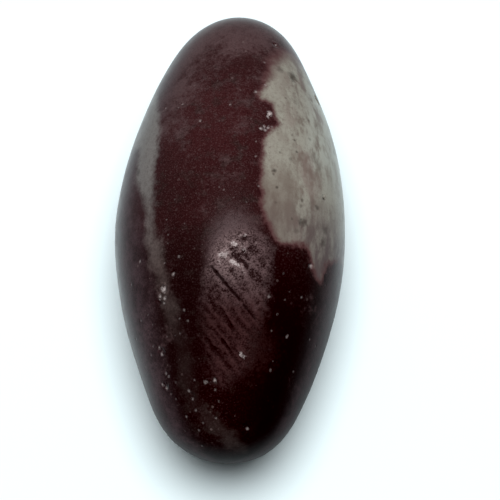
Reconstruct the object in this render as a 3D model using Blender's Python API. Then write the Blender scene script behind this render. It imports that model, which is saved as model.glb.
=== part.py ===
"""A shiva lingam: an egg-shaped river stone, tumbled smooth, with a rasped flat and a few chips on its back.

The stone lies on its side along Y with its blunter end at -Y. It rests on a small worn flat. The origin is on
that flat, at the bottom centre of the stone's box.
"""

import math

import bmesh
import bpy
from mathutils import Matrix, Vector
from mathutils.bvhtree import BVHTree

MM = 0.001

# Driving sizes. The stone is a little wider than it is high, so it lies still.
LENGTH = 75.8 * MM
WIDTH = 37.6 * MM
HEIGHT = 35.6 * MM

# How the stone departs from an ellipsoid: slim shoulders, blunt ends and a slight bow to +X at both ends.
FAR_SHOULDER = 0.072
NEAR_SHOULDER = 0.069
FAR_BLUNT = 0.063
NEAR_BLUNT = 0.139
BOW = 0.53 * MM

# Worn swells and hollows: the place, how far it reaches, and how high it stands (a hollow is below zero).
SWELLS = (
    (Vector((18.6, 1.5, 18.5)) * MM, 7.0 * MM, -0.16 * MM),
    (Vector((14.6, 23.8, 19.0)) * MM, 6.0 * MM, -0.12 * MM),
    (Vector((11.8, -28.5, 19.0)) * MM, 6.5 * MM, -0.18 * MM),
    (Vector((15.8, 17.0, 20.0)) * MM, 6.0 * MM, 0.12 * MM),
    (Vector((-18.8, -2.0, 18.5)) * MM, 7.0 * MM, 0.16 * MM),
    (Vector((-9.0, 8.0, 33.0)) * MM, 10.0 * MM, -0.15 * MM),
    (Vector((2.0, 24.0, 30.0)) * MM, 9.0 * MM, 0.12 * MM),
    (Vector((-6.0, -22.0, 3.0)) * MM, 10.0 * MM, -0.20 * MM),
    (Vector((8.0, 14.0, 1.5)) * MM, 11.0 * MM, 0.15 * MM),
    (Vector((-15.0, 14.0, 7.0)) * MM, 10.0 * MM, -0.18 * MM),
    (Vector((16.0, -14.0, 9.0)) * MM, 9.0 * MM, 0.15 * MM),
)

# The rasped flat on the back. Across the stone it is flat, and along the stone it follows a large arc.
RASP_CENTRE = Vector((1.6, -17.2, 32.05)) * MM
RASP_FACING = Vector((0.08, -0.25, 0.96)).normalized()
RASP_HEADING = Vector((0.14, 0.96, 0.25))
RASP_ARC = 500.0 * MM
RASP_BLOCK = Vector((24.0, 44.0, 8.0)) * MM
RASP_STEPS = 12

# The worn flat that the stone rests on is this deep into the rounded underside.
REST_DEPTH = 0.3 * MM

# Scores that the rasp left: middle x, middle y, length, and heading in degrees from +X.
SCORE_WIDTH = 0.62 * MM
SCORE_DEPTH = 0.32 * MM
SCORES = (
    (0.0 * MM, -13.4 * MM, 6.6 * MM, -46.0),
    (3.6 * MM, -17.5 * MM, 2.8 * MM, -50.0),
    (-0.2 * MM, -18.3 * MM, 5.0 * MM, -50.0),
    (-0.5 * MM, -21.5 * MM, 9.0 * MM, -55.0),
    (-1.7 * MM, -23.8 * MM, 4.5 * MM, -56.0),
    (1.0 * MM, -21.7 * MM, 4.1 * MM, -50.0),
    (2.1 * MM, -17.5 * MM, 3.6 * MM, -50.0),
    (1.7 * MM, -19.2 * MM, 3.4 * MM, -52.0),
    (3.4 * MM, -11.5 * MM, 4.0 * MM, -50.0),
    (-2.0 * MM, -15.6 * MM, 2.6 * MM, -48.0),
)
SCORE_SIDES = 8
SCORE_RINGS = 6

# Chips and pits: the place on the stone nearest to each, its radius and its depth.
CHIPS = (
    (Vector((-9.9, -13.8, 30.8)) * MM, 0.90 * MM, 0.28 * MM),
    (Vector((-10.5, -15.6, 29.9)) * MM, 0.80 * MM, 0.30 * MM),
    (Vector((-8.3, -11.7, 32.4)) * MM, 0.60 * MM, 0.20 * MM),
    (Vector((-10.0, -22.8, 27.5)) * MM, 0.70 * MM, 0.25 * MM),
    (Vector((-9.2, -27.7, 25.3)) * MM, 0.65 * MM, 0.22 * MM),
    (Vector((-2.2, -27.6, 29.4)) * MM, 0.70 * MM, 0.22 * MM),
    (Vector((-5.0, -29.6, 27.6)) * MM, 0.60 * MM, 0.20 * MM),
    (Vector((3.5, -34.0, 25.5)) * MM, 0.70 * MM, 0.22 * MM),
    (Vector((5.6, 13.6, 33.0)) * MM, 0.75 * MM, 0.24 * MM),
    (Vector((3.2, 18.7, 32.2)) * MM, 0.50 * MM, 0.18 * MM),
    (Vector((6.6, 29.8, 26.5)) * MM, 0.60 * MM, 0.20 * MM),
    (Vector((13.7, 21.6, 22.9)) * MM, 1.00 * MM, 0.32 * MM),
    (Vector((11.3, -2.9, 32.0)) * MM, 0.60 * MM, 0.22 * MM),
    (Vector((14.8, 2.5, 28.7)) * MM, 0.55 * MM, 0.20 * MM),
    (Vector((9.6, 23.3, 27.6)) * MM, 0.70 * MM, 0.24 * MM),
    (Vector((12.8, -9.2, 29.8)) * MM, 0.50 * MM, 0.18 * MM),
    (Vector((-17.0, 6.0, 13.0)) * MM, 0.80 * MM, 0.26 * MM),
    (Vector((14.5, -12.0, 8.0)) * MM, 0.90 * MM, 0.28 * MM),
    (Vector((6.0, 24.0, 5.0)) * MM, 0.80 * MM, 0.26 * MM),
    (Vector((-7.0, -26.0, 6.0)) * MM, 0.85 * MM, 0.26 * MM),
)
CHIP_HEADING = Vector((0.3, 1.0, 0.2))
CHIP_SIDES = 7
CHIP_RINGS = 5

# How finely the stone is faceted.
SEGMENTS = 66
RINGS = 46


def girth(lean):
    """Share of the full girth at an angle along the stone, where +90 degrees is the far tip."""
    along = math.sin(lean)
    if along > 0:
        shoulder, blunt = FAR_SHOULDER, FAR_BLUNT
    else:
        shoulder, blunt = NEAR_SHOULDER, NEAR_BLUNT
    return math.cos(lean) * (1.0 - shoulder * math.sin(2.0 * lean) ** 2 + blunt * along ** 4)


def tumbled(direction):
    """Point of the tumbled stone for a direction on a unit ball, with +Y as the far tip."""
    lean = math.asin(max(-1.0, min(1.0, direction.y)))
    turn = math.atan2(direction.x, direction.z)
    share = girth(lean)
    x = WIDTH / 2 * share * math.sin(turn) + BOW * math.sin(lean) ** 2
    y = LENGTH / 2 * direction.y
    z = HEIGHT / 2 + HEIGHT / 2 * share * math.cos(turn)
    return Vector((x, y, z))


def swollen(point):
    """The point moved out of the stone's middle line by the worn swells and hollows near it."""
    outward = Vector((point.x / WIDTH ** 2, point.y / LENGTH ** 2, (point.z - HEIGHT / 2) / HEIGHT ** 2))
    outward.normalize()
    rise = 0.0
    for place, reach, height in SWELLS:
        rise += height * math.exp(-((point - place).length / reach) ** 2)
    return point + outward * rise


def rasp_sink(along):
    """How far the rasped flat falls away from its middle, at a distance along it."""
    return along ** 2 / (2.0 * RASP_ARC)


def rasp_axes():
    """The rasped flat's axes across it, along it and out of the stone."""
    along = (RASP_HEADING - RASP_FACING * RASP_HEADING.dot(RASP_FACING)).normalized()
    return along.cross(RASP_FACING), along, RASP_FACING


def tumbled_stone():
    """A bmesh of the closed stone before it is rasped, with its worn flat at z = 0."""
    stone = bmesh.new()
    bmesh.ops.create_uvsphere(stone, u_segments=SEGMENTS, v_segments=RINGS, radius=1.0)
    for vert in stone.verts:
        direction = Vector((vert.co.x, vert.co.z, -vert.co.y))
        vert.co = swollen(tumbled(direction))
    bottom = min(vert.co.z for vert in stone.verts)
    cut = bmesh.ops.bisect_plane(
        stone,
        geom=stone.verts[:] + stone.edges[:] + stone.faces[:],
        plane_co=(0.0, 0.0, bottom + REST_DEPTH),
        plane_no=(0.0, 0.0, -1.0),
        clear_outer=True,
    )
    rim = [item for item in cut["geom_cut"] if isinstance(item, bmesh.types.BMEdge)]
    bmesh.ops.contextual_create(stone, geom=rim)
    middle_x = (max(v.co.x for v in stone.verts) + min(v.co.x for v in stone.verts)) / 2
    middle_y = (max(v.co.y for v in stone.verts) + min(v.co.y for v in stone.verts)) / 2
    for vert in stone.verts:
        vert.co -= Vector((middle_x, middle_y, bottom + REST_DEPTH))
    bmesh.ops.recalc_face_normals(stone, faces=stone.faces[:])
    return stone


def rasp_block():
    """A bmesh of the block whose underside cuts the rasped flat."""
    block = bmesh.new()
    lift = Matrix.Translation((0.0, 0.0, RASP_BLOCK.z / 2))
    bmesh.ops.create_cube(block, size=1.0, matrix=lift @ Matrix.Diagonal((*RASP_BLOCK, 1.0)))
    lengthwise = [edge for edge in block.edges if edge.verts[0].co.y * edge.verts[1].co.y < 0.0]
    bmesh.ops.subdivide_edges(block, edges=lengthwise, cuts=RASP_STEPS - 1, use_grid_fill=True)
    turned = Matrix(rasp_axes()).transposed()
    for vert in block.verts:
        if vert.co.z < RASP_BLOCK.z / 2:
            vert.co.z -= rasp_sink(vert.co.y)
        vert.co = RASP_CENTRE + turned @ vert.co
    bmesh.ops.recalc_face_normals(block, faces=block.faces[:])
    return block


def on_rasped_flat(x, y):
    """The point of the rasped flat above a place on the ground."""
    _, along_axis, facing = rasp_axes()
    offset = Vector((x, y, RASP_CENTRE.z)) - RASP_CENTRE
    sink = rasp_sink(offset.dot(along_axis))
    return Vector((x, y, RASP_CENTRE.z - (offset.dot(facing) + sink) / facing.z))


def lay_in(cutters, place, facing, heading, size, sides, rings):
    """Add one closed spindle to the cutters, half sunk at a place on the stone's skin."""
    along = (heading - facing * heading.dot(facing)).normalized()
    turned = Matrix((facing.cross(along), facing, along)).transposed().to_4x4()
    scaled = Matrix.Diagonal((size.x / 2, size.y, size.z / 2, 1.0))
    bmesh.ops.create_uvsphere(
        cutters,
        u_segments=sides,
        v_segments=rings,
        radius=1.0,
        matrix=Matrix.Translation(place) @ turned @ scaled,
    )


def scores_and_chips(stone):
    """A bmesh of the closed spindles that cut the rasp's scores and the chips."""
    skin = BVHTree.FromBMesh(stone)
    cutters = bmesh.new()
    for x, y, length, degrees in SCORES:
        heading = Vector((math.cos(math.radians(degrees)), math.sin(math.radians(degrees)), 0.0))
        size = Vector((SCORE_WIDTH, SCORE_DEPTH, length))
        lay_in(cutters, on_rasped_flat(x, y), RASP_FACING, heading, size, SCORE_SIDES, SCORE_RINGS)
    for near, radius, depth in CHIPS:
        inside = Vector((0.0, near.y, HEIGHT / 2))
        outward = (near - inside).normalized()
        place, facing, _, _ = skin.ray_cast(inside + outward * LENGTH, -outward)
        size = Vector((1.5 * radius, depth, 2.0 * radius))
        lay_in(cutters, place, facing, CHIP_HEADING, size, CHIP_SIDES, CHIP_RINGS)
    bmesh.ops.recalc_face_normals(cutters, faces=cutters.faces[:])
    return cutters


def stone_material():
    """The polished maroon jasper that the stone is made of."""
    material = bpy.data.materials.new("maroon_jasper")
    material.use_nodes = True
    shader = material.node_tree.nodes["Principled BSDF"]
    shader.inputs["Base Color"].default_value = (0.045, 0.014, 0.013, 1.0)
    shader.inputs["Roughness"].default_value = 0.35
    shader.inputs["Metallic"].default_value = 0.0
    return material


def as_object(name, shape):
    """A new scene object with the bmesh's shape."""
    mesh = bpy.data.meshes.new(name)
    shape.to_mesh(mesh)
    made = bpy.data.objects.new(name, mesh)
    bpy.context.collection.objects.link(made)
    return made


def cut_away(stone, name, shape):
    """Cut a shape out of the stone with a Boolean modifier and a hidden cutter."""
    cutter = as_object(name, shape)
    cutter.hide_render = True
    cutter.display_type = "WIRE"
    cut = stone.modifiers.new(name, "BOOLEAN")
    cut.operation = "DIFFERENCE"
    cut.solver = "EXACT"
    cut.object = cutter


def build():
    """Make the stone, rasp its back flat and cut the scores and chips in."""
    for old in list(bpy.data.objects):
        bpy.data.objects.remove(old, do_unlink=True)
    shape = tumbled_stone()
    stone = as_object("stone", shape)
    stone.data.materials.append(stone_material())
    stone.data.shade_smooth()
    stone.data.set_sharp_from_angle(angle=math.radians(25.0))
    cut_away(stone, "rasp_block", rasp_block())
    cut_away(stone, "scores_and_chips", scores_and_chips(shape))


build()
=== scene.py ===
"""The polished skin, colours and light of a shiva lingam, a river stone that lies on its side on a pale floor.

The stone's form is worked out in millimetres, on the same measures as its solid, and fitted to the solid's box.
"""

import math

import bpy
import numpy as np
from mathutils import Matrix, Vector, noise


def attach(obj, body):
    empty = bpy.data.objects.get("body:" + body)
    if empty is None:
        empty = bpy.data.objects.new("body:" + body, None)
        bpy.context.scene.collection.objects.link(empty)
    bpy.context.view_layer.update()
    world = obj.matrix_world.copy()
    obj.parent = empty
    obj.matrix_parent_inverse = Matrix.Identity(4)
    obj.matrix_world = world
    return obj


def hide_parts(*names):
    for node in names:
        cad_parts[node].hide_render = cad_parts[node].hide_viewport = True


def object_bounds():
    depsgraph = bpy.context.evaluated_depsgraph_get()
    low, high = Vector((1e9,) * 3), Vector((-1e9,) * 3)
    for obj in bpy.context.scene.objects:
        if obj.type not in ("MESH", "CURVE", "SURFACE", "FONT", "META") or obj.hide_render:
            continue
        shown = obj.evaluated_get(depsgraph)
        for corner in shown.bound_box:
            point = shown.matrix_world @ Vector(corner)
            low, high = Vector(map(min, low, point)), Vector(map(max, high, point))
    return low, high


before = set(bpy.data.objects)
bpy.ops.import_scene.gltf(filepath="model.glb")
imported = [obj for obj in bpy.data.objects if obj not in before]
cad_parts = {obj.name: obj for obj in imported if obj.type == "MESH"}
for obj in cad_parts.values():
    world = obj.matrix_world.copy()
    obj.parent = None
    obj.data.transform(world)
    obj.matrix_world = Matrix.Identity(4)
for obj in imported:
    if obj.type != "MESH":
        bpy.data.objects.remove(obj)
solid_low, solid_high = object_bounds()

MM = 0.001
NODE = "stone"

# The form, in millimetres: an ellipsoid with slim shoulders, blunt ends and a slight bow to +X at both ends.
LENGTH = 75.8
WIDTH = 37.6
HEIGHT = 35.6
FAR_SHOULDER = 0.072
NEAR_SHOULDER = 0.069
FAR_BLUNT = 0.063
NEAR_BLUNT = 0.139
BOW = 0.53
REST_DEPTH = 0.3

# Worn swells and hollows: the place, how far it reaches, and how high it stands (a hollow is below zero).
SWELLS = (
    ((18.6, 1.5, 18.5), 7.0, -0.16),
    ((14.6, 23.8, 19.0), 6.0, -0.12),
    ((11.8, -28.5, 19.0), 6.5, -0.18),
    ((15.8, 17.0, 20.0), 6.0, 0.12),
    ((-18.8, -2.0, 18.5), 7.0, 0.16),
    ((-9.0, 8.0, 33.0), 10.0, -0.15),
    ((2.0, 24.0, 30.0), 9.0, 0.12),
    ((-6.0, -22.0, 3.0), 10.0, -0.20),
    ((8.0, 14.0, 1.5), 11.0, 0.15),
    ((-15.0, 14.0, 7.0), 10.0, -0.18),
    ((16.0, -14.0, 9.0), 9.0, 0.15),
    ((-11.0, -33.0, 17.5), 6.5, 0.40),
    ((-16.5, -16.5, 17.5), 7.5, 0.22),
    ((13.0, 28.5, 18.0), 6.0, -0.25),
)

# The rasped flat on the back, as a plane that follows a large arc along the stone.
RASP_CENTRE = np.array((1.6, -17.2, 32.05))
RASP_FACING = Vector((0.08, -0.25, 0.96)).normalized()
RASP_HEADING = Vector((0.14, 0.96, 0.25))
RASP_ARC = 500.0

# Where the rasp left the skin rough, as an outline seen from above, and the middle of a pale glow on that skin,
# partly crushed stone and partly a painted highlight.
ROUGH_OUTLINE = (
    (-3.3, -11.2), (-3.0, -9.3), (-2.0, -7.4), (-0.5, -5.9), (1.4, -4.9), (3.6, -4.8), (5.5, -6.0), (6.5, -7.7),
    (6.7, -9.9), (6.3, -12.9), (6.1, -15.7), (5.5, -18.3), (4.2, -20.3), (3.6, -22.4), (3.4, -24.5), (1.9, -26.5),
    (-0.2, -28.3), (-1.8, -27.3), (-2.7, -24.7), (-3.4, -21.8), (-3.8, -18.6), (-3.7, -16.0), (-3.3, -13.7),
)
CRUSHED_GLOW_MIDDLE = (0.3, -9.1, 34.7)
# The middle of a painted highlight on the polish around the rasped flat's far end.
HIGHLIGHT_MIDDLE = (1.0, -8.6, 34.8)
RASP_RUN = (0.66, -0.75)
RIB_SPACING = 1.35

# Sharp scores in the rasped flat, seen from above: start, end, width and depth.
SCORES = (
    ((-2.33, -11.14), (-0.10, -13.60), 0.76, 0.26),
    ((-0.10, -13.60), (1.99, -15.66), 0.64, 0.24),
    ((2.60, -16.45), (4.32, -18.36), 0.58, 0.20),
    ((-0.60, -17.20), (0.96, -19.80), 0.44, 0.10),
    ((-0.44, -21.70), (0.92, -23.44), 0.44, 0.10),
)

# Soft furrows and pits in the rasped flat, seen from above: start, end, width and depth.
FURROWS = (
    ((2.28, -6.75), (2.38, -6.90), 0.95, 0.16), ((0.63, -8.30), (1.05, -8.46), 0.80, 0.15),
    ((1.00, -9.15), (1.41, -9.46), 0.90, 0.18), ((2.26, -8.53), (3.06, -9.69), 0.60, 0.18),
    ((1.77, -9.92), (2.54, -10.15), 0.80, 0.20), ((2.79, -10.61), (2.88, -10.84), 0.80, 0.18),
    ((3.73, -11.29), (3.84, -12.35), 0.85, 0.14), ((3.62, -8.23), (4.17, -8.69), 1.20, 0.11),
    ((5.08, -9.84), (5.35, -10.45), 1.10, 0.11), ((4.63, -12.05), (4.89, -12.72), 0.90, 0.12),
    ((0.58, -11.29), (0.79, -11.67), 0.50, 0.12), ((1.19, -11.97), (1.39, -12.12), 0.50, 0.10),
    ((2.00, -12.35), (2.39, -12.50), 0.50, 0.10), ((-0.68, -14.35), (-0.44, -14.57), 0.55, 0.12),
    ((-2.06, -14.13), (-1.86, -14.35), 0.50, 0.10), ((-2.53, -15.37), (-1.75, -15.73), 0.80, 0.10),
    ((2.33, -13.09), (2.62, -13.39), 0.70, 0.07), ((-2.67, -16.38), (-0.95, -17.09), 0.62, 0.12),
    ((-0.95, -17.09), (1.01, -20.00), 0.62, 0.14), ((-2.04, -20.06), (-0.44, -21.85), 0.60, 0.15),
    ((-0.44, -21.85), (0.92, -23.44), 0.55, 0.13), ((0.92, -23.44), (2.18, -24.97), 0.50, 0.12),
    ((-2.90, -21.78), (-1.68, -23.06), 0.70, 0.13), ((-1.68, -23.06), (-0.21, -24.06), 0.95, 0.16),
    ((-1.95, -19.32), (-0.52, -20.60), 0.42, 0.08), ((0.58, -21.26), (1.52, -21.52), 0.50, 0.09),
    ((3.26, -21.59), (3.42, -23.06), 0.60, 0.10), ((-0.21, -24.06), (0.84, -25.79), 0.70, 0.07),
    ((-3.15, -17.45), (-2.67, -17.87), 0.45, 0.08), ((1.70, -18.49), (2.79, -19.73), 0.50, 0.06),
    ((0.17, -16.09), (1.62, -17.73), 0.45, 0.05), ((3.07, -14.64), (4.68, -16.24), 0.45, 0.05),
)

# Raised ridges between the furrows, seen from above: start, end, width and height.
RIDGES = (
    ((-3.43, -18.01), (-0.51, -21.20), 0.80, 0.09), ((-2.37, -20.33), (2.23, -25.50), 0.80, 0.09),
    ((1.26, -16.02), (2.97, -19.52), 1.30, 0.05), ((3.51, -15.45), (5.10, -17.94), 2.20, 0.07),
    ((-0.44, -16.88), (0.47, -18.22), 0.70, 0.05), ((2.40, -9.61), (2.95, -10.23), 0.35, 0.08),
    ((4.01, -10.38), (4.48, -11.22), 0.40, 0.07), ((2.17, -10.91), (2.90, -12.60), 0.80, 0.08),
)

# Pale crushed crumbs on the rasped flat, seen from above: start, end, width and how pale.
CRUMBS = (
    ((0.68, -7.53), (1.11, -7.60), 0.95, 1.00), ((-1.09, -9.38), (-0.36, -9.07), 1.20, 0.85),
    ((0.53, -10.07), (1.66, -10.68), 0.75, 1.00), ((2.17, -10.91), (2.51, -11.82), 0.70, 0.45),
    ((2.06, -7.84), (2.62, -8.46), 0.65, 0.55), ((1.75, -6.28), (1.91, -6.28), 0.42, 0.65),
    ((2.45, -6.20), (2.55, -6.12), 0.42, 0.65), ((4.11, -7.22), (4.31, -7.53), 0.50, 0.30),
    ((2.40, -9.61), (2.95, -10.23), 0.35, 0.35), ((-1.38, -10.15), (-1.17, -10.53), 0.60, 0.45),
    ((-0.48, -7.99), (-0.16, -8.38), 0.60, 0.30), ((2.43, -23.50), (3.27, -24.18), 0.90, 1.00),
)

# Chips and pits: the place on the stone nearest to each, its radius and its depth.
CHIPS = (
    ((-9.9, -13.8, 30.8), 0.90, 0.28),
    ((-10.5, -15.6, 29.9), 0.80, 0.30),
    ((-8.3, -11.7, 32.4), 0.60, 0.20),
    ((-10.0, -22.8, 27.5), 0.70, 0.25),
    ((-9.2, -27.7, 25.3), 0.65, 0.22),
    ((-2.2, -27.6, 29.4), 0.70, 0.22),
    ((-5.0, -29.6, 27.6), 0.60, 0.20),
    ((3.5, -34.0, 25.5), 0.70, 0.22),
    ((5.6, 13.6, 33.0), 0.75, 0.24),
    ((3.2, 18.7, 32.2), 0.50, 0.18),
    ((6.6, 29.8, 26.5), 0.60, 0.20),
    ((13.7, 21.6, 22.9), 1.00, 0.32),
    ((11.3, -2.9, 32.0), 0.60, 0.22),
    ((14.8, 2.5, 28.7), 0.55, 0.20),
    ((9.6, 23.3, 27.6), 0.70, 0.24),
    ((12.8, -9.2, 29.8), 0.50, 0.18),
    ((-17.0, 6.0, 13.0), 0.80, 0.26),
    ((14.5, -12.0, 8.0), 0.90, 0.28),
    ((6.0, 24.0, 5.0), 0.80, 0.26),
    ((-7.0, -26.0, 6.0), 0.85, 0.26),
)

# Small pale flecks where the skin has flaked: a place seen from above and a radius. The wider ones are paler.
FLECKS = (
    ((-9.6, -14.4), 0.30), ((-9.6, -15.9), 0.30), ((-10.4, -15.2), 0.28), ((-10.2, -22.2), 0.32),
    ((-9.8, -23.1), 0.40), ((-11.3, -21.7), 0.25), ((-11.6, -22.9), 0.28), ((-9.1, -26.0), 0.35),
    ((-8.6, -26.4), 0.30), ((-9.6, -27.4), 0.34), ((-9.0, -28.0), 0.34), ((-8.2, -28.9), 0.24),
    ((-7.4, -29.7), 0.24), ((-7.5, -27.4), 0.22), ((-5.4, -28.8), 0.28), ((-4.8, -30.0), 0.28),
    ((-4.3, -31.5), 0.26), ((-5.7, -32.3), 0.26), ((-3.2, -33.3), 0.24), ((-1.2, -32.7), 0.26),
    ((-2.9, -27.7), 0.38), ((-1.5, -27.5), 0.38), ((-1.4, -28.8), 0.28), ((-0.8, -30.4), 0.24),
    ((-4.6, -27.4), 0.24), ((3.6, -34.0), 0.32), ((-7.7, -20.8), 0.20), ((-7.0, -20.5), 0.24),
    ((-7.1, -18.4), 0.24), ((-6.4, -17.3), 0.28), ((-5.8, -18.8), 0.26), ((-11.4, -18.6), 0.22),
    ((-13.4, -17.5), 0.26), ((-14.2, -19.7), 0.26), ((-12.2, -17.0), 0.22), ((-9.0, -20.8), 0.20),
    ((-3.3, -36.2), 0.24), ((-3.8, -34.2), 0.24), ((-5.9, -34.1), 0.20), ((3.5, 18.8), 0.34),
    ((-0.5, 16.0), 0.30), ((-5.1, 13.2), 0.30), ((5.0, 20.3), 0.34), ((4.4, 11.9), 0.42),
    ((5.0, 12.3), 0.38), ((5.6, 12.2), 0.42), ((5.2, 11.7), 0.34), ((6.2, 12.5), 0.30),
    ((5.8, 14.9), 0.62), ((5.5, 14.3), 0.40), ((3.8, 9.4), 0.26), ((3.8, 6.8), 0.26),
    ((-1.6, 1.3), 0.22), ((-0.9, 0.9), 0.24), ((-2.6, 6.0), 0.20), ((4.4, 1.8), 0.24), ((0.6, -0.4), 0.18),
    ((2.6, -1.0), 0.20), ((-8.2, 17.0), 0.30), ((-10.9, 17.1), 0.28), ((-8.8, 16.4), 0.24),
    ((-10.5, 10.8), 0.22), ((-11.1, 4.6), 0.20), ((-6.8, -4.3), 0.20), ((-9.3, -5.7), 0.24),
    ((-2.6, 20.9), 0.20), ((1.1, 18.9), 0.20), ((2.4, 22.9), 0.22), ((1.7, 27.0), 0.22), ((4.7, 25.1), 0.26),
    ((6.6, 29.8), 0.34), ((12.8, -9.2), 0.42), ((8.5, -11.3), 0.22), ((6.4, -15.0), 0.30), ((11.4, -14.2), 0.26),
    ((7.7, -17.4), 0.24), ((9.3, -20.3), 0.32), ((6.9, -19.9), 0.22), ((12.9, -19.8), 0.24),
    ((13.9, -20.3), 0.20), ((6.9, -25.5), 0.28), ((7.2, -24.2), 0.20), ((10.5, -25.0), 0.26),
    ((8.8, -15.1), 0.20), ((9.5, -13.8), 0.18), ((15.2, -11.1), 0.20), ((-9.7, -3.3), 0.28),
    ((-7.5, -9.2), 0.30), ((-8.3, -11.8), 0.34), ((-9.7, -9.9), 0.22), ((-13.8, -8.8), 0.28),
    ((-15.2, -11.7), 0.26), ((-9.8, -13.8), 0.58), ((-10.3, -14.8), 0.42), ((-9.5, -15.2), 0.40),
    ((-9.3, -7.0), 0.20), ((-8.5, -0.2), 0.22),
)

# Dark spots in the pale markings: a place seen from above, a radius and how dark it is.
DARK_SPOTS = (
    ((9.5, 23.6), 1.00, 0.70), ((7.2, 24.3), 0.75, 0.45), ((10.0, 18.4), 0.80, 0.15), ((8.3, 18.6), 0.20, 0.60),
    ((12.0, 15.7), 0.35, 0.35), ((9.8, 10.9), 0.24, 0.75), ((9.4, 11.7), 0.20, 0.40), ((12.3, 12.0), 0.32, 0.40),
    ((10.2, 8.8), 0.24, 0.70), ((7.5, 8.1), 0.20, 0.40), ((9.2, 7.3), 0.32, 0.30), ((13.1, 8.7), 1.20, 0.22),
    ((13.8, 7.7), 0.90, 0.25), ((6.7, 4.7), 0.38, 0.75), ((6.6, 4.1), 0.24, 0.50), ((7.2, 2.0), 0.28, 0.70),
    ((14.7, 2.3), 0.34, 1.00), ((11.1, 0.7), 0.32, 0.50), ((11.0, -0.3), 0.30, 0.45), ((13.5, 0.2), 0.48, 0.55),
    ((11.4, -2.8), 0.80, 0.65), ((9.6, -2.7), 0.28, 0.45), ((10.4, -4.4), 0.50, 0.35), ((14.9, -2.8), 0.80, 0.40),
    ((14.6, -4.9), 0.90, 0.50), ((7.1, -0.5), 0.28, 0.30), ((16.4, 12.4), 0.50, 0.45), ((-14.9, 6.2), 0.55, 0.80),
    ((-13.1, -3.8), 0.30, 0.70), ((-12.0, -6.6), 0.30, 0.85), ((-15.1, 4.8), 0.40, 0.30),
    ((13.9, 21.7), 0.55, 0.75), ((14.3, 20.4), 0.45, 0.60), ((18.2, 4.0), 0.50, 0.55), ((18.1, 1.6), 0.60, 0.50),
)

# Outlines of the pale markings. Each point is a turn round the stone in degrees, where 0 is the top and +90 is +X,
# and a place along it.
PALE_PATCH = (
    (84, 27.0), (68, 26.6), (60, 27.6), (50, 28.2), (42, 27.4), (37, 26.2), (31, 24.8), (28, 23.1), (24, 21.5),
    (21, 20.1), (18, 18.8), (17, 17.9), (19, 17.6), (23, 17.3), (26, 16.9), (26, 15.7), (27, 14.3), (28, 13.2),
    (27, 12.6), (23, 12.0), (21, 11.4), (19, 10.7), (18, 9.4), (18, 8.0), (17, 6.5), (17, 5.1), (17, 3.6),
    (17, 2.1), (18, 1.2), (17, -0.1), (17, -1.3), (19, -2.5), (20, -3.7), (23, -5.0), (26, -6.1), (30, -6.6),
    (36, -6.4), (41, -6.1), (44, -6.4), (47, -7.7), (50, -9.3), (54, -10.6), (57, -10.7), (57, -9.4), (59, -7.7),
    (65, -6.8), (72, -5.9), (92, -5.0), (106, -1.0), (118, 5.0), (124, 12.0), (116, 19.0), (104, 24.0), (94, 26.5),
)
PALE_STREAK = (
    (-59, 19.8), (-47, 13.9), (-45, 11.0), (-44, 9.1), (-44, 6.1), (-43, 1.1), (-42, -1.0), (-41, -2.8),
    (-40, -4.8), (-40, -5.9), (-36, -6.7), (-37, -8.5), (-36, -10.3), (-33, -12.2), (-34, -14.1), (-28, -16.1),
    (-30, -18.6), (-28, -20.7), (-24, -23.1), (-23, -25.7), (-25, -28.1), (-21, -30.3), (-15, -31.7), (0, -33.6),
    (22, -35.5), (39, -36.5), (9, -36.7), (0, -35.6), (-20, -33.5), (-31, -31.5), (-35, -30.1), (-37, -27.9),
    (-35, -25.5), (-34, -22.9), (-35, -20.6), (-39, -18.4), (-39, -16.9), (-40, -14.9), (-40, -13.1),
    (-40, -11.9), (-43, -10.7), (-46, -9.8), (-45, -8.1), (-47, -6.1), (-46, -4.4), (-46, -2.5), (-50, 1.6),
    (-52, 2.8), (-57, 4.8), (-58, 7.4), (-61, 10.7), (-78, 13.0), (-98, 12.0), (-112, 16.0), (-108, 22.0),
    (-92, 26.0), (-76, 24.5),
)

# How strongly the streak shows at places along the stone, from the near end to the far end.
STREAK_SHOWS = (
    (-36.5, 0.19), (-33.5, 0.12), (-30.0, 0.05), (-27.5, 0.08), (-25.5, 0.12), (-23.0, 0.05), (-20.5, 0.16),
    (-18.0, 0.22), (-14.5, 0.32), (-12.0, 0.32), (-9.5, 0.44), (-6.0, 0.55), (-2.8, 0.55), (2.3, 0.85),
    (10.0, 1.00), (26.0, 0.90),
)


def unit(points):
    """The points as vectors of length one."""
    return points / np.linalg.norm(points, axis=1, keepdims=True)


def girth(lean):
    """Share of the full girth at an angle along the stone, where +90 degrees is the far tip."""
    along = np.sin(lean)
    shoulder = np.where(along > 0, FAR_SHOULDER, NEAR_SHOULDER)
    blunt = np.where(along > 0, FAR_BLUNT, NEAR_BLUNT)
    return np.cos(lean) * (1.0 - shoulder * np.sin(2.0 * lean) ** 2 + blunt * along ** 4)


def tumbled(ball):
    """Points of the tumbled stone for points on a unit ball, with +Y as the far tip."""
    lean = np.arcsin(np.clip(ball[:, 1], -1.0, 1.0))
    turn = np.arctan2(ball[:, 0], ball[:, 2])
    share = girth(lean)
    x = WIDTH / 2 * share * np.sin(turn) + BOW * np.sin(lean) ** 2
    y = LENGTH / 2 * ball[:, 1]
    z = HEIGHT / 2 + HEIGHT / 2 * share * np.cos(turn)
    points = np.stack((x, y, z), axis=1)
    outward = unit(np.stack((x / WIDTH ** 2, y / LENGTH ** 2, (z - HEIGHT / 2) / HEIGHT ** 2), axis=1))
    rise = np.zeros(len(points))
    for place, reach, height in SWELLS:
        away = np.linalg.norm(points - np.array(place), axis=1)
        rise += height * np.exp(-(away / reach) ** 2)
    return points + outward * rise[:, None] - np.array((0.0, 0.0, REST_DEPTH))


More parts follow.
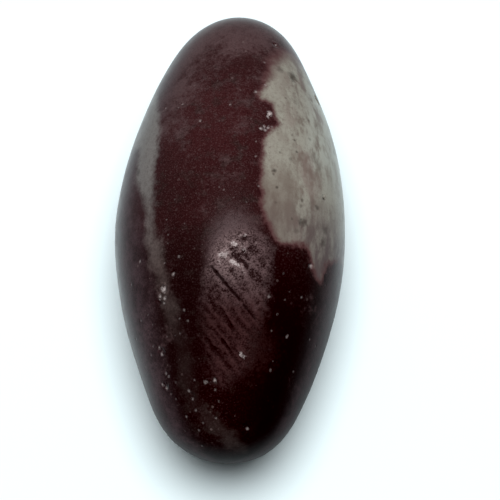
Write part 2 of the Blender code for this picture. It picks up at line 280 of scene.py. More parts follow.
def on_skin(place):
    """The point of the upper skin at a place seen from above."""
    x, y = place
    lean = math.asin(2.0 * y / LENGTH)
    share = float(girth(lean))
    across = (x - BOW * math.sin(lean) ** 2) / (WIDTH / 2 * share)
    z = HEIGHT / 2 * (1.0 + share * math.sqrt(1.0 - across ** 2)) - REST_DEPTH
    return np.array((x, y, z))


def read_points(mesh):
    """The mesh's points as rows of x, y and z."""
    points = np.empty(len(mesh.vertices) * 3)
    mesh.vertices.foreach_get("co", points)
    return points.reshape(-1, 3)


def write_points(mesh, points):
    """Put the rows of x, y and z in the mesh."""
    mesh.vertices.foreach_set("co", np.ascontiguousarray(points).ravel())
    mesh.update()


def read_normals(mesh):
    """The direction that the skin faces at each point."""
    normals = np.empty(len(mesh.vertices) * 3)
    mesh.vertex_normals.foreach_get("vector", normals)
    return normals.reshape(-1, 3)


def face_middles(mesh):
    """The middle of each face."""
    middles = np.empty(len(mesh.polygons) * 3)
    mesh.polygons.foreach_get("center", middles)
    return middles.reshape(-1, 3)


def smooth_step(values, low, high):
    """0 below low, 1 above high and a smooth rise between them."""
    share = np.clip((values - low) / (high - low), 0.0, 1.0)
    return share * share * (3.0 - 2.0 * share)


def grain(points, size, seed=0.0):
    """Smooth noise from -1 to 1 at each point, with lumps of about the given size."""
    shifted = points / size + seed
    return np.array([noise.noise(Vector(place)) for place in shifted])


def reach_inside(places, outline):
    """How far each flat place lies inside an outline; below zero outside it."""
    corners = np.array(outline, dtype=float)
    nearest = np.full(len(places), np.inf)
    inside = np.zeros(len(places), dtype=bool)
    for start, end in zip(corners, np.roll(corners, -1, axis=0)):
        side = end - start
        offset = places - start
        share = np.clip(offset @ side / (side @ side), 0.0, 1.0)
        nearest = np.minimum(nearest, np.linalg.norm(offset - share[:, None] * side, axis=1))
        crosses = (start[1] > places[:, 1]) != (end[1] > places[:, 1])
        with np.errstate(divide="ignore", invalid="ignore"):
            meets = start[0] + (places[:, 1] - start[1]) / side[1] * side[0]
        inside ^= crosses & (places[:, 0] < meets)
    return np.where(inside, nearest, -nearest)


def unrolled(turn, y):
    """Flat places for a turn round the stone in degrees and a place along it."""
    lean = np.arcsin(np.clip(2.0 * np.asarray(y, dtype=float) / LENGTH, -1.0, 1.0))
    arc = np.radians(np.asarray(turn, dtype=float)) * WIDTH / 2 * girth(lean)
    return np.stack((arc, np.asarray(y, dtype=float)), axis=1)


def marking_reach(points, outline):
    """How far each point of the skin lies inside a marking that is outlined by turns and places along."""
    turns = np.degrees(np.arctan2(points[:, 0], points[:, 2] - HEIGHT / 2))
    corners = np.array(outline, dtype=float)
    return reach_inside(unrolled(turns, points[:, 1]), unrolled(corners[:, 0], corners[:, 1]))


def above_rasp(points):
    """How high each point stands over the rasped flat."""
    facing = np.array(RASP_FACING)
    along = np.array((RASP_HEADING - RASP_FACING * RASP_HEADING.dot(RASP_FACING)).normalized())
    offset = points - RASP_CENTRE
    return offset @ facing + (offset @ along) ** 2 / (2.0 * RASP_ARC)


def select_faces(mesh, chosen):
    """Select only the chosen faces."""
    mesh.vertices.foreach_set("select", np.zeros(len(mesh.vertices), dtype=bool))
    mesh.edges.foreach_set("select", np.zeros(len(mesh.edges), dtype=bool))
    mesh.polygons.foreach_set("select", chosen)
    mesh.update()


def subdivide_where(stone, chosen):
    """Cut each chosen face of the unit ball in four, and put the new points back on the ball."""
    select_faces(stone.data, chosen)
    bpy.ops.object.mode_set(mode="EDIT")
    bpy.ops.mesh.select_mode(type="FACE")
    bpy.ops.mesh.subdivide(number_cuts=1, ngon=False)
    bpy.ops.object.mode_set(mode="OBJECT")
    write_points(stone.data, unit(read_points(stone.data)))


def small_marks():
    """The place and radius of each chip, fleck and spot."""
    marks = [(np.array(place), radius) for place, radius, _ in CHIPS]
    marks += [(on_skin(place), radius) for place, radius in FLECKS]
    marks += [(on_skin(place), radius) for place, radius, _ in DARK_SPOTS]
    return marks


def fine_work(middles, margin):
    """Which face middles, placed on the stone, lie where the rasp or a small mark needs small faces."""
    on_top = middles[:, 2] > HEIGHT / 2
    chosen = on_top & (reach_inside(middles[:, :2], ROUGH_OUTLINE) > -margin - 0.6)
    for place, radius in small_marks():
        away = np.linalg.norm(middles - place, axis=1)
        chosen |= away < radius + margin
    return chosen


def ball_of_squares():
    """A unit ball of small even squares, with smaller ones where the rasp and the small marks go."""
    bpy.ops.object.select_all(action="DESELECT")
    bpy.ops.mesh.primitive_cube_add(size=2.0)
    ball = bpy.context.active_object
    ball.name = "polished_stone"
    bpy.ops.object.mode_set(mode="EDIT")
    bpy.ops.mesh.select_all(action="SELECT")
    bpy.ops.mesh.bisect(plane_co=(0.0, 0.0, 0.0), plane_no=(0.0, 1.0, 0.0))
    bpy.ops.object.mode_set(mode="OBJECT")
    squares = ball.modifiers.new("squares", "SUBSURF")
    squares.subdivision_type = "SIMPLE"
    squares.levels = 6
    squares.render_levels = 6
    bpy.ops.object.modifier_apply(modifier="squares")
    write_points(ball.data, unit(np.tan(read_points(ball.data) * math.pi / 4)))
    for margin in (0.55, 0.25):
        middles = tumbled(unit(face_middles(ball.data)))
        subdivide_where(ball, fine_work(middles, margin))
    return ball


def from_stroke(points, start, end, width, wander):
    """How far each point lies from a stroke seen from above, as a share of half the stroke's width."""
    start, end = np.array(start), np.array(end)
    side = end - start
    offset = points[:, :2] - start
    share = np.clip(offset @ side / (side @ side), 0.0, 1.0)
    away = np.linalg.norm(offset - share[:, None] * side, axis=1)
    return (away + wander) / (width / 2)


def rasped(points):
    """The points pressed on to the rasped flat, and how rough the skin is at each."""
    above = above_rasp(points)
    soft = 0.05
    pressed = 0.5 * (above + np.sqrt(above ** 2 + soft ** 2)) - 0.5 * soft
    on_top = points[:, 2] > HEIGHT / 2
    pressed = np.where(on_top & (above > -1.0), np.maximum(pressed, 0.0), 0.0)
    moved = points - np.array(RASP_FACING) * (0.92 * pressed)[:, None]
    ragged = 0.7 * grain(points, 1.5, 3.0) + 0.5 * grain(points, 0.5, 5.0)
    edge = reach_inside(points[:, :2], ROUGH_OUTLINE) + ragged
    rough = np.where(on_top, smooth_step(edge, -1.0, 1.3), 0.0)
    return moved, rough


def rasp_relief(points):
    """How far the rasped skin stands out at each point, how deep its scores cut, and how pale its crumbs are."""
    wander = 0.12 * grain(points, 0.9, 7.0) + 0.10 * grain(points, 0.35, 9.0)
    run_x, run_y = RASP_RUN
    along = points[:, 0] * run_x + points[:, 1] * run_y
    across = points[:, 0] * -run_y + points[:, 1] * run_x
    drawn = grain(np.stack((across / 0.55, along / 2.2, across * 0.0), axis=1), 1.0, 11.0)
    lumps = grain(points, 0.75, 13.0)
    fine = grain(points, 0.30, 17.0)
    ribs = np.sin(2.0 * math.pi * (across + 0.55 * grain(points, 2.0, 19.0)) / RIB_SPACING)
    ribbed = smooth_step(points[:, 1], -12.5, -17.0)
    relief = 0.080 * drawn + 0.038 * lumps + 0.065 * fine + 0.060 * ribbed * ribs
    for start, end, width, height in RIDGES:
        away = from_stroke(points, start, end, width, wander)
        relief += height * (1.0 - smooth_step(away, 0.2, 1.3))
    dips = np.zeros(len(points))
    for start, end, width, depth in FURROWS:
        away = from_stroke(points, start, end, width, wander)
        dips = np.maximum(dips, depth * (1.0 - smooth_step(away, 0.3, 1.4)))
    pale = np.zeros(len(points))
    for start, end, width, paleness in CRUMBS:
        away = from_stroke(points, start, end, width, wander)
        pale = np.maximum(pale, paleness * (1.0 - smooth_step(away, 0.0, 1.5)))
    score = np.zeros(len(points))
    for start, end, width, depth in SCORES:
        away = from_stroke(points, start, end, width, 0.7 * wander)
        score = np.maximum(score, depth * np.clip(1.0 - away, 0.0, 1.0))
    return relief - dips + 0.09 * pale, score, pale


def chipped(points):
    """How deep the chips and flecks cut at each point, and how fresh the broken skin is."""
    wobble = 1.0 + 0.7 * grain(points, 0.40, 23.0)
    cut = np.zeros(len(points))
    fresh = np.zeros(len(points))
    for place, radius, depth in CHIPS:
        away = np.linalg.norm(points - np.array(place), axis=1) / (radius * wobble)
        cut = np.maximum(cut, depth * np.clip(1.0 - away ** 2, 0.0, 1.0))
    for place, radius in FLECKS:
        away = np.linalg.norm(points - on_skin(place), axis=1) / (radius * wobble)
        cut = np.maximum(cut, 0.25 * radius * np.clip(1.0 - away ** 2, 0.0, 1.0))
        paleness = min(0.9, 0.10 + 2.0 * (radius - 0.18))
        fresh = np.maximum(fresh, paleness * (1.0 - smooth_step(away, 0.1, 1.0)))
    return cut, fresh


def spotted(points):
    """How dark the spots in the pale markings are at each point."""
    wobble = 1.0 + 0.6 * grain(points, 0.5, 41.0)
    dark = np.zeros(len(points))
    for place, radius, strength in DARK_SPOTS:
        away = np.linalg.norm(points - on_skin(place), axis=1) / (radius * wobble)
        dark = np.maximum(dark, strength * (1.0 - smooth_step(away, 0.2, 1.35)))
    return dark


def keep(mesh, name, values):
    """Store one number for each point, for the material to read."""
    stored = mesh.attributes.new(name, "FLOAT", "POINT")
    stored.data.foreach_set("value", values.astype(np.float32))


def fit_to_solid(points):
    """The points in metres, stretched by a hair so that they fill the solid's box."""
    low, high = np.array(solid_low), np.array(solid_high)
    share = (points - points.min(axis=0)) / (points.max(axis=0) - points.min(axis=0))
    return low + share * (high - low)


def model_stone():
    """The whole stone with its rasped flat, scores and chips, and what its material needs to know."""
    stone = ball_of_squares()
    mesh = stone.data
    form = tumbled(read_points(mesh))
    write_points(mesh, form)
    normals = read_normals(mesh)
    uneven = 0.035 * grain(form, 7.0, 29.0) + 0.010 * grain(form, 2.4, 31.0)
    form, rough = rasped(form + normals * uneven[:, None])
    torn, score, crushed = rasp_relief(form)
    bite, fresh = chipped(form)
    relief = rough * torn - score * np.clip(rough + 0.3, 0.0, 1.0) - bite
    shows = np.array(STREAK_SHOWS)
    keep(mesh, "pale", marking_reach(form, PALE_PATCH))
    keep(mesh, "streak", marking_reach(form, PALE_STREAK))
    keep(mesh, "streak_shows", np.interp(form[:, 1], shows[:, 0], shows[:, 1]))
    turn = np.arctan2(form[:, 0], form[:, 2] - HEIGHT / 2)
    keep(mesh, "aside", np.where(np.abs(turn) > math.pi / 2, np.sign(turn), np.sin(turn)))
    keep(mesh, "rough", rough)
    # The rasped relief's height, which tints the colour: partly wear and partly painted shade in the furrows and
    # painted light on the ridges.
    keep(mesh, "wear_and_relief_shade", np.clip(0.5 + torn / 0.32, 0.0, 1.0))
    keep(mesh, "score", np.clip(score / 0.14, 0.0, 1.0))
    keep(mesh, "fresh", fresh)
    keep(mesh, "crushed", crushed * rough)
    keep(mesh, "spot", spotted(form))
    form += normals * relief[:, None]
    form[:, 2] = np.maximum(form[:, 2], 0.0)
    write_points(mesh, fit_to_solid(form))
    bpy.ops.object.select_all(action="DESELECT")
    stone.select_set(True)
    bpy.context.view_layer.objects.active = stone
    bpy.ops.object.shade_smooth()
    return stone


class Recipe:
    """A material's nodes, added one at a time."""

    def __init__(self, name):
        self.material = bpy.data.materials.new(name)
        self.material.use_nodes = True
        self.nodes = self.material.node_tree.nodes
        self.links = self.material.node_tree.links
        self.shader = self.nodes["Principled BSDF"]

    def add(self, kind, feeds=None, **settings):
        """Add a node. Feeds maps its inputs to values or to other nodes' outputs."""
        node = self.nodes.new(kind)
        for name, value in settings.items():
            setattr(node, name, value)
        for socket, value in (feeds or {}).items():
            self.feed(node.inputs[socket], value)
        return node

    def feed(self, socket, value):
        """Link an output to the socket, or set its value."""
        if isinstance(value, bpy.types.NodeSocket):
            self.links.new(value, socket)
        else:
            socket.default_value = value

    def sum(self, operation, first, second=0.0):
        """The result of a Math node."""
        return self.add("ShaderNodeMath", {0: first, 1: second}, operation=operation).outputs[0]

    def product(self, *values):
        """The values multiplied together."""
        result = values[0]
        for value in values[1:]:
            result = self.sum("MULTIPLY", result, value)
        return result

    def total(self, *values):
        """The values added together."""
        result = values[0]
        for value in values[1:]:
            result = self.sum("ADD", result, value)
        return result

    def place(self):
        """The place on the stone, in millimetres."""
        spot = self.add("ShaderNodeTexCoord").outputs["Object"]
        return self.add("ShaderNodeVectorMath", {0: spot, "Scale": 1.0 / MM}, operation="SCALE").outputs[0]

    def parts(self, place):
        """The x, y and z of a place."""
        split = self.add("ShaderNodeSeparateXYZ", {0: place})
        return split.outputs["X"], split.outputs["Y"], split.outputs["Z"]

    def lumps(self, place, size, detail=3.0, roughness=0.55, warp=0.0):
        """Noise from 0 to 1 with lumps of about the given size in millimetres."""
        feeds = {"Vector": place, "Scale": 1.0 / size, "Detail": detail, "Roughness": roughness, "Distortion": warp}
        return self.add("ShaderNodeTexNoise", feeds).outputs[0]

    def rise(self, value, low, high, start=0.0, end=1.0):
        """A smooth rise from start to end as the value goes from low to high."""
        feeds = {"Value": value, "From Min": low, "From Max": high, "To Min": start, "To Max": end}
        return self.add("ShaderNodeMapRange", feeds, interpolation_type="SMOOTHSTEP").outputs[0]

    def around(self, value, middle, scale):
        """How far the value is from its middle, scaled."""
        return self.sum("MULTIPLY", self.sum("SUBTRACT", value, middle), scale)

    def near(self, place, middle, outer, inner, ragged, squash=(1.0, 1.0, 1.0)):
        """1 within the inner distance of a middle and 0 beyond the outer one. Ragged is added to the distance."""
        offset = self.add("ShaderNodeVectorMath", {0: place, 1: middle}, operation="SUBTRACT").outputs[0]
        offset = self.add("ShaderNodeVectorMath", {0: offset, 1: squash}, operation="MULTIPLY").outputs[0]
        away = self.add("ShaderNodeVectorMath", {0: offset}, operation="LENGTH").outputs["Value"]
        return self.rise(self.sum("ADD", away, ragged), outer, inner)

    def stored(self, name):
        """A number that the mesh holds for each point."""
        return self.add("ShaderNodeAttribute", attribute_name=name).outputs["Fac"]

    def mix(self, share, first, second):
        """The first colour turning into the second as the share goes from 0 to 1."""
        return self.add("ShaderNodeMix", {0: share, 6: first, 7: second}, data_type="RGBA").outputs[2]


MAROON = (0.0240, 0.0056, 0.0060, 1.0)
MAROON_RED = (0.0320, 0.0072, 0.0078, 1.0)
MAROON_DEEP = (0.0105, 0.0030, 0.0030, 1.0)
MAROON_NIGHT = (0.0065, 0.0024, 0.0024, 1.0)
BROWN = (0.0190, 0.0115, 0.0100, 1.0)
# Painted sheen, with dust.
SHEEN_AND_DUST = (0.065, 0.034, 0.035, 1.0)
# Painted rim sheen.
PLUM = (0.056, 0.029, 0.034, 1.0)
SPECK = (0.085, 0.050, 0.050, 1.0)
FLECK = (0.105, 0.070, 0.066, 1.0)
EMBER = (0.0205, 0.0085, 0.0082, 1.0)
PALE_GREY = (0.244, 0.222, 0.186, 1.0)
PALE_GREEN = (0.325, 0.320, 0.280, 1.0)
PALE_BROWN = (0.122, 0.091, 0.075, 1.0)
PALE_PINK = (0.165, 0.114, 0.100, 1.0)
DUSK = (0.085, 0.060, 0.058, 1.0)
FRINGE = (0.085, 0.036, 0.036, 1.0)
SPOT = (0.022, 0.015, 0.012, 1.0)
STREAK_GREY = (0.152, 0.135, 0.127, 1.0)
STREAK_BROWN = (0.140, 0.102, 0.093, 1.0)
# Painted highlight.
PAINTED_HIGHLIGHT = (0.100, 0.063, 0.065, 1.0)
# Crushed stone with a painted highlight.
ROUGH_PALE_GLOW = (0.185, 0.123, 0.122, 1.0)
ROUGH_DULL = (0.098, 0.059, 0.060, 1.0)
ROUGH_RED = (0.040, 0.0165, 0.0165, 1.0)
ROUGH_DARK = (0.0120, 0.0042, 0.0042, 1.0)
FRESH = (0.460, 0.385, 0.375, 1.0)


def maroon_body(recipe, place, broad, middling, small, dust):
    """The maroon body's colour, lighter at the far end with painted sheen and dust, darker towards the near end, and
    near black at the near right with painted shade; and how black it is.
    """
    x, y, _ = recipe.parts(place)
    patchy = recipe.total(
        recipe.around(broad, 0.5, 1.8), recipe.around(middling, 0.5, 1.6), recipe.around(small, 0.5, 1.6)
    )
    # Darker towards the near end, and near black at the near right, where the near black is painted shade.
    lower = recipe.rise(recipe.sum("ADD", y, recipe.around(broad, 0.5, 18.0)), 5.0, -13.0)
    near_right_shade = recipe.product(recipe.rise(y, -3.0, -22.0), recipe.rise(x, -3.0, 8.0))
    red = recipe.near(place, (-2.5, 14.0, 33.0), 11.0, 2.0, recipe.around(middling, 0.5, 12.0))
    colour = recipe.mix(red, MAROON, MAROON_RED)
    colour = recipe.mix(lower, colour, MAROON_DEEP)
    colour = recipe.mix(near_right_shade, colour, MAROON_NIGHT)
    ember = recipe.near(place, (3.6, -22.8, 30.0), 6.2, 0.5, recipe.around(small, 0.5, 10.0))
    colour = recipe.mix(recipe.product(ember, recipe.rise(dust, 0.30, 0.60, 0.4, 0.9)), colour, EMBER)
    lit = recipe.sum("SUBTRACT", 1.0, near_right_shade)
    colour = recipe.mix(recipe.product(recipe.rise(middling, 0.50, 0.70, 0.0, 0.6), lit), colour, BROWN)
    side = recipe.near(place, (-11.0, 15.0, 29.5), 8.5, 2.0, recipe.around(middling, 0.5, 6.0))
    upper = recipe.near(place, (4.5, 13.0, 33.0), 9.5, 2.0, recipe.around(middling, 0.5, 10.0))
    aside = recipe.stored("aside")
    far_left = recipe.product(recipe.rise(aside, -0.20, -0.75, 0.0, 0.55), recipe.rise(y, 8.0, 22.0))
    near_left = recipe.product(recipe.rise(aside, -0.35, -0.65, 0.0, 0.32), recipe.rise(y, 0.0, -10.0))
    # Lighter towards the far end, the top, the upper left and the left side: painted sheen in place of the polish's
    # reflected light, mixed with the stone's own dusty mottling.
    share = recipe.total(
        recipe.rise(y, 22.0, 33.0, 0.0, 0.78), recipe.rise(y, -10.0, 12.0, -0.30, 0.02), patchy,
        recipe.product(side, 0.38), recipe.product(upper, 0.28), far_left, near_left
    )
    colour = recipe.mix(recipe.rise(share, 0.0, 1.0), colour, SHEEN_AND_DUST)
    # Plum on both flanks, broken by mottles: painted sheen in place of the polish's rim reflection, with the stone's
    # own mottling.
    flank_sheen = recipe.sum("MAXIMUM", recipe.rise(aside, -0.60, -0.92), recipe.rise(aside, 0.82, 0.97, 0.0, 0.8))
    mottled = recipe.product(recipe.rise(small, 0.25, 0.60, 0.45, 1.0), recipe.rise(middling, 0.36, 0.58, 0.45, 1.0))
    colour = recipe.mix(recipe.product(flank_sheen, mottled), colour, PLUM)
    # A painted highlight around the rasped flat's far end.
    highlight = recipe.near(place, HIGHLIGHT_MIDDLE, 8.2, 1.5, recipe.around(small, 0.5, 4.0), (1.5, 1.0, 1.0))
    colour = recipe.mix(recipe.product(highlight, 0.82), colour, PAINTED_HIGHLIGHT)
    speckled = recipe.product(recipe.rise(dust, 0.50, 0.78, 0.0, 0.50), lit, recipe.rise(y, -12.0, 8.0, 0.6, 1.0))
    colour = recipe.mix(speckled, colour, SPECK)
    return recipe.mix(recipe.rise(dust, 0.50, 0.25, 0.0, 0.6), colour, MAROON_NIGHT), near_right_shade


def flecked(recipe, place, colour, size, widest, most):
    """The colour with pale flecks of many sizes, at most one in each cell of the given size."""
    cells = recipe.add("ShaderNodeTexVoronoi", {"Vector": place, "Scale": 1.0 / size})
    chance = recipe.add("ShaderNodeSeparateColor", {0: cells.outputs["Color"]})
    wide = recipe.rise(chance.outputs[0], 0.35, 1.0, 0.0, widest / size)
    fleck = recipe.rise(recipe.sum("SUBTRACT", wide, cells.outputs["Distance"]), 0.0, 0.08 / size)
    return recipe.mix(recipe.product(fleck, chance.outputs[1], most), colour, FLECK)


def pale_body(recipe, place, small, dust):
    """The colour of the pale chert: grey-beige, with brownish and pinkish clouds along its middle."""
    x, y, _ = recipe.parts(place)
    drawn = recipe.add("ShaderNodeVectorMath", {0: place, 1: (1.0, 0.45, 1.0)}, operation="MULTIPLY").outputs[0]
    clouds = recipe.lumps(drawn, 1.9, 4.0, 0.62)
    blush = recipe.lumps(drawn, 3.2, 3.0, 0.55, 0.4)
    off_middle = recipe.sum("ABSOLUTE", recipe.sum("SUBTRACT", x, 11.5))
    middle = recipe.rise(off_middle, 4.5, 0.5, 0.25, 1.0)
    colour = recipe.mix(recipe.product(recipe.rise(clouds, 0.40, 0.66), middle), PALE_GREY, PALE_BROWN)
    colour = recipe.mix(recipe.product(recipe.rise(blush, 0.48, 0.66), middle, 0.6), colour, PALE_PINK)
    colour = recipe.mix(recipe.rise(small, 0.48, 0.76, 0.0, 0.65), colour, PALE_BROWN)
    colour = recipe.mix(recipe.rise(dust, 0.48, 0.20, 0.0, 0.5), colour, PALE_BROWN)
    green = recipe.product(recipe.rise(x, 10.5, 14.0), recipe.rise(y, 1.0, 11.0), recipe.rise(clouds, 0.65, 0.40))
    colour = recipe.mix(recipe.product(green, 0.8), colour, PALE_GREEN)
    brown = recipe.product(recipe.rise(y, 9.5, -1.0), recipe.rise(x, 11.8, 7.4), recipe.rise(clouds, 0.3, 0.6, 0.6, 1.0))
    colour = recipe.mix(brown, colour, PALE_BROWN)
    dusk = recipe.product(
        recipe.rise(y, 4.0, -6.0), recipe.rise(x, 9.0, 14.0, 0.45, 1.0), recipe.rise(clouds, 0.3, 0.6, 0.5, 1.0)
    )
    colour = recipe.mix(dusk, colour, DUSK)
    return recipe.mix(recipe.stored("spot"), colour, SPOT)


def rough_body(recipe, place, small, dust):
    """The colour of the rasped skin: pale where it is crushed, with a painted highlight on its palest part, darker
    in its furrows and lighter on its ridges with wear and painted shade and light, and redder at its near end.
    """
    y = recipe.parts(place)[1]
    grainy = recipe.total(recipe.around(small, 0.5, 1.0), recipe.around(dust, 0.5, 2.0))
    near_end = recipe.rise(recipe.sum("ADD", y, recipe.around(small, 0.5, 6.0)), -10.5, -19.0)
    # A pale glow: partly crushed stone and partly a painted highlight.
    glow = recipe.near(place, CRUSHED_GLOW_MIDDLE, 6.2, 0.8, recipe.around(small, 0.5, 2.0), (1.25, 1.0, 1.0))
    colour = recipe.mix(near_end, ROUGH_DULL, ROUGH_RED)
    colour = recipe.mix(glow, colour, ROUGH_PALE_GLOW)
    # Dark in the furrows and pits and light on the ridges: partly wear, partly painted shade and light in place of
    # the relief's shading.
    wear_and_relief_shade = recipe.sum("ADD", recipe.stored("wear_and_relief_shade"), grainy)
    colour = recipe.mix(recipe.rise(wear_and_relief_shade, -0.05, 0.95), ROUGH_DARK, colour)
    crushed = recipe.stored("crushed")
    pale = recipe.rise(recipe.sum("ADD", crushed, grainy), 0.30, 1.35)
    return recipe.mix(recipe.product(pale, recipe.rise(crushed, 0.0, 0.3)), colour, FRESH)


def polished_jasper():
    """Maroon jasper with grey-beige chert markings, polished by the river and dulled where it was rasped."""
    recipe = Recipe("polished_jasper")
    place = recipe.place()
    broad = recipe.lumps(place, 6.0, 2.0, 0.5)
    middling = recipe.lumps(place, 2.2, 4.0, 0.60)
    small = recipe.lumps(place, 0.70, 4.0, 0.65)
    dust = recipe.lumps(place, 0.24, 2.0, 0.6)

    colour, near_right_shade = maroon_body(recipe, place, broad, middling, small, dust)
    plenty = recipe.product(recipe.rise(middling, 0.36, 0.62, 0.25, 1.0), recipe.rise(near_right_shade, 0.0, 1.0, 1.0, 0.2))
    colour = flecked(recipe, place, colour, 0.62, 0.17, recipe.product(plenty, 0.60))
    colour = flecked(recipe, place, colour, 1.55, 0.28, recipe.product(plenty, 0.70))

    wavy = recipe.sum("ADD", recipe.around(middling, 0.5, 2.0), recipe.around(small, 0.5, 1.3))
    streak = recipe.rise(recipe.sum("ADD", recipe.stored("streak"), wavy), -1.0, 1.0)
    uneven = recipe.product(recipe.rise(small, 0.2, 0.6, 0.7, 1.0), recipe.rise(dust, 0.25, 0.6, 0.75, 1.0))
    streak = recipe.product(streak, recipe.stored("streak_shows"), uneven)
    y = recipe.parts(place)[1]
    colour = recipe.mix(streak, colour, recipe.mix(recipe.rise(y, 2.0, -12.0), STREAK_GREY, STREAK_BROWN))
    colour = recipe.mix(recipe.product(recipe.stored("spot"), streak), colour, SPOT)

    pale = recipe.sum("ADD", recipe.stored("pale"), wavy)
    pale = recipe.sum("DIVIDE", pale, recipe.rise(y, 18.0, 27.0, 0.55, 1.6))
    colour = recipe.mix(recipe.rise(pale, -1.9, -0.4, 0.0, 0.8), colour, FRINGE)
    colour = recipe.mix(recipe.rise(pale, -1.0, 1.1), colour, pale_body(recipe, place, small, dust))

    rough = recipe.stored("rough")
    colour = recipe.mix(recipe.product(rough, 0.93), colour, rough_body(recipe, place, small, dust))
    gloom = recipe.near(place, (-5.5, -21.0, 28.5), 8.0, 2.0, recipe.around(small, 0.5, 6.0), (1.3, 0.45, 0.6))
    colour = recipe.mix(recipe.product(gloom, 0.45), colour, MAROON_NIGHT)
    # Dark in the scores: painted shade, with dirt.
    colour = recipe.mix(recipe.product(recipe.stored("score"), rough, 0.9), colour, MAROON_NIGHT)
    flaked = recipe.product(recipe.stored("fresh"), recipe.rise(dust, 0.30, 0.54))
    colour = recipe.mix(flaked, colour, FRESH)

    recipe.feed(recipe.shader.inputs["Base Color"], colour)
    recipe.shader.inputs["Specular IOR Level"].default_value = 0.25
    gloss = recipe.rise(middling, 0.3, 0.7, 0.28, 0.36)
    gloss = recipe.sum("ADD", gloss, recipe.product(recipe.sum("MAXIMUM", rough, flaked), 0.30))
    recipe.feed(recipe.shader.inputs["Roughness"], gloss)
    bump = recipe.add("ShaderNodeBump", {"Height": dust, "Strength": 0.5, "Distance": 0.02 * MM})
    recipe.feed(recipe.shader.inputs["Normal"], bump.outputs[0])
    return recipe.material


def pale_floor():
    """The plain white surface that the stone lies on."""
    bpy.ops.object.select_all(action="DESELECT")
    bpy.ops.mesh.primitive_plane_add(size=3.0, location=(0.0, 0.0, 0.0))
    floor = bpy.context.active_object
    floor.name = "pale_floor"
    recipe = Recipe("matt_white")
    recipe.shader.inputs["Base Color"].default_value = (0.80, 0.88, 0.90, 1.0)
    recipe.shader.inputs["Roughness"].default_value = 0.9
    floor.data.materials.append(recipe.material)
    return floor


# The camera stands above the stone's near end and looks down on it.
CAMERA_ELEVATION = math.radians(72.0)
CAMERA_AZIMUTH = math.radians(1.53)
CAMERA_AWAY = 240.0
CAMERA_LENS = 105.6
AIM_RIGHT = 3.24
AIM_UP = -2.96


def camera_axes():
    """The camera's directions: to its right, up and back from what it sees."""
    lean, turn = CAMERA_ELEVATION, CAMERA_AZIMUTH
    back = Vector((math.sin(turn) * math.cos(lean), -math.cos(turn) * math.cos(lean), math.sin(lean)))
    right = Vector((math.cos(turn), math.sin(turn), 0.0))
    return right, back.cross(right), back


def add_camera():
    """The camera at the photograph's viewing angle."""
    right, up, back = camera_axes()
    aim = Vector((0.0, 0.0, HEIGHT / 2)) + right * AIM_RIGHT + up * AIM_UP
    bpy.ops.object.camera_add(location=(aim + back * CAMERA_AWAY) * MM)
    camera = bpy.context.active_object
    camera.rotation_euler = back.to_track_quat("Z", "Y").to_euler()
    camera.data.lens = CAMERA_LENS
    camera.data.sensor_width = 36.0
    camera.data.clip_start = 0.01
    bpy.context.scene.camera = camera


PALE_LIGHT = (0.95, 1.0, 1.01)
ROOM_BRIGHT = 0.30
ROOM_DIM = 0.03
ROOM_BRIGHT_SIDE = (-0.35, 0.90, 0.10)
LAMP_AWAY = 600.0
BLACK_LEVEL = 0.006

# How the ground that the polish mirrors darkens away from the stone, and towards its near right side.
MIRRORED_NEAR = 24.0
MIRRORED_FAR = 75.0
MIRRORED_FAR_TONE = 0.25
MIRRORED_DARK_SIDE = (0.28, -0.96, 0.0)
MIRRORED_DARK_TONE = 0.29


def add_lamp(name, direction, spread, radiance):
    """An oval soft lamp that faces the stone, as wide and high as the spread in degrees each way."""
    toward = Vector(direction).normalized()
    bpy.ops.object.light_add(type="AREA", location=toward * LAMP_AWAY * MM)
    lamp = bpy.context.active_object
    lamp.name = name
    lamp.rotation_euler = toward.to_track_quat("Z", "Y").to_euler()
    wide, high = (2.0 * LAMP_AWAY * MM * math.tan(math.radians(angle)) for angle in spread)
    lamp.data.shape = "ELLIPSE"
    lamp.data.size = wide
    lamp.data.size_y = high
    lamp.data.energy = radiance * math.pi * math.pi * wide * high / 4.0
    lamp.data.color = PALE_LIGHT
    return lamp


def add_room():
    """A dim pale room, brighter behind the stone than in front of it."""
    world = bpy.data.worlds.new("pale_room")
    bpy.context.scene.world = world
    world.use_nodes = True
    nodes = world.node_tree.nodes
    links = world.node_tree.links
    direction = nodes.new("ShaderNodeTexCoord").outputs["Generated"]
    toward = nodes.new("ShaderNodeVectorMath")
    toward.operation = "DOT_PRODUCT"
    toward.inputs[1].default_value = Vector(ROOM_BRIGHT_SIDE).normalized()
    strength = nodes.new("ShaderNodeMapRange")
    strength.inputs["From Min"].default_value = -0.5
    strength.inputs["From Max"].default_value = 1.0
    strength.inputs["To Min"].default_value = ROOM_DIM
    strength.inputs["To Max"].default_value = ROOM_BRIGHT
    background = nodes["Background"]
    background.inputs["Color"].default_value = (*PALE_LIGHT, 1.0)
    links.new(direction, toward.inputs[0])
    links.new(toward.outputs["Value"], strength.inputs["Value"])
    links.new(strength.outputs[0], background.inputs["Strength"])


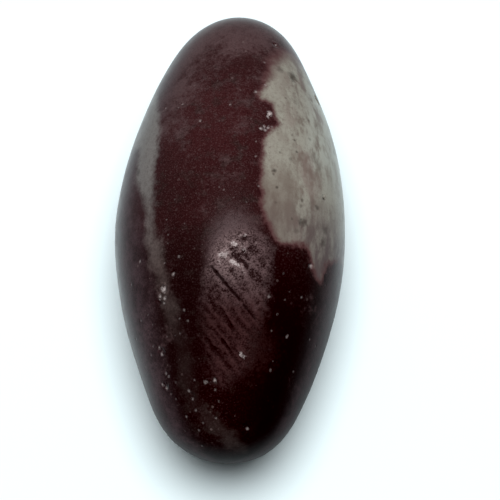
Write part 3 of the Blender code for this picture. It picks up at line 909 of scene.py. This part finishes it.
def mirrored_ground():
    """A darkened ground that only the stone's polish sees, just over the floor."""
    bpy.ops.mesh.primitive_plane_add(size=3.0, location=(0.0, 0.0, 0.3 * MM))
    ground = bpy.context.active_object
    ground.name = "mirrored_ground"
    recipe = Recipe("darkened_white")
    place = recipe.place()
    oval = recipe.add("ShaderNodeVectorMath", {0: place, 1: (1.0, 0.6, 0.0)}, operation="MULTIPLY").outputs[0]
    away = recipe.add("ShaderNodeVectorMath", {0: oval}, operation="LENGTH").outputs["Value"]
    fading = recipe.rise(away, MIRRORED_NEAR, MIRRORED_FAR, 1.0, MIRRORED_FAR_TONE)
    ahead = recipe.add("ShaderNodeVectorMath", {0: place}, operation="NORMALIZE").outputs[0]
    aside = recipe.add("ShaderNodeVectorMath", {0: ahead, 1: MIRRORED_DARK_SIDE}, operation="DOT_PRODUCT")
    shaded = recipe.rise(aside.outputs["Value"], 0.1, 0.95, 1.0, MIRRORED_DARK_TONE)
    tone = recipe.product(fading, shaded)
    white = (0.80, 0.88, 0.90, 1.0)
    recipe.feed(recipe.shader.inputs["Base Color"], recipe.mix(tone, (0.0, 0.0, 0.0, 1.0), white))
    recipe.shader.inputs["Roughness"].default_value = 1.0
    recipe.shader.inputs["Specular IOR Level"].default_value = 0.0
    ground.data.materials.append(recipe.material)
    ground.visible_camera = False
    ground.visible_diffuse = False
    ground.visible_shadow = False
    ground.visible_transmission = False
    return ground


def add_light():
    """A broad lamp overhead that the polish doesn't mirror, and a faint one that only the polish sees."""
    add_room()
    broad = add_lamp("broad_lamp", (0.02, 0.07, 1.0), (17.0, 17.0), 14.3)
    broad.visible_glossy = False
    faint = add_lamp("faint_lamp", (0.0, 0.14, 0.99), (24.0, 15.0), 0.40)
    faint.visible_diffuse = False
    settings = bpy.context.scene.view_settings
    settings.view_transform = "Standard"
    settings.use_curve_mapping = True
    settings.curve_mapping.black_level = (BLACK_LEVEL, BLACK_LEVEL, BLACK_LEVEL)
    settings.curve_mapping.update()


stone = model_stone()
stone.data.materials.append(polished_jasper())
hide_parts(NODE)
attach(stone, "root")
pale_floor()
mirrored_ground()
add_camera()
add_light()
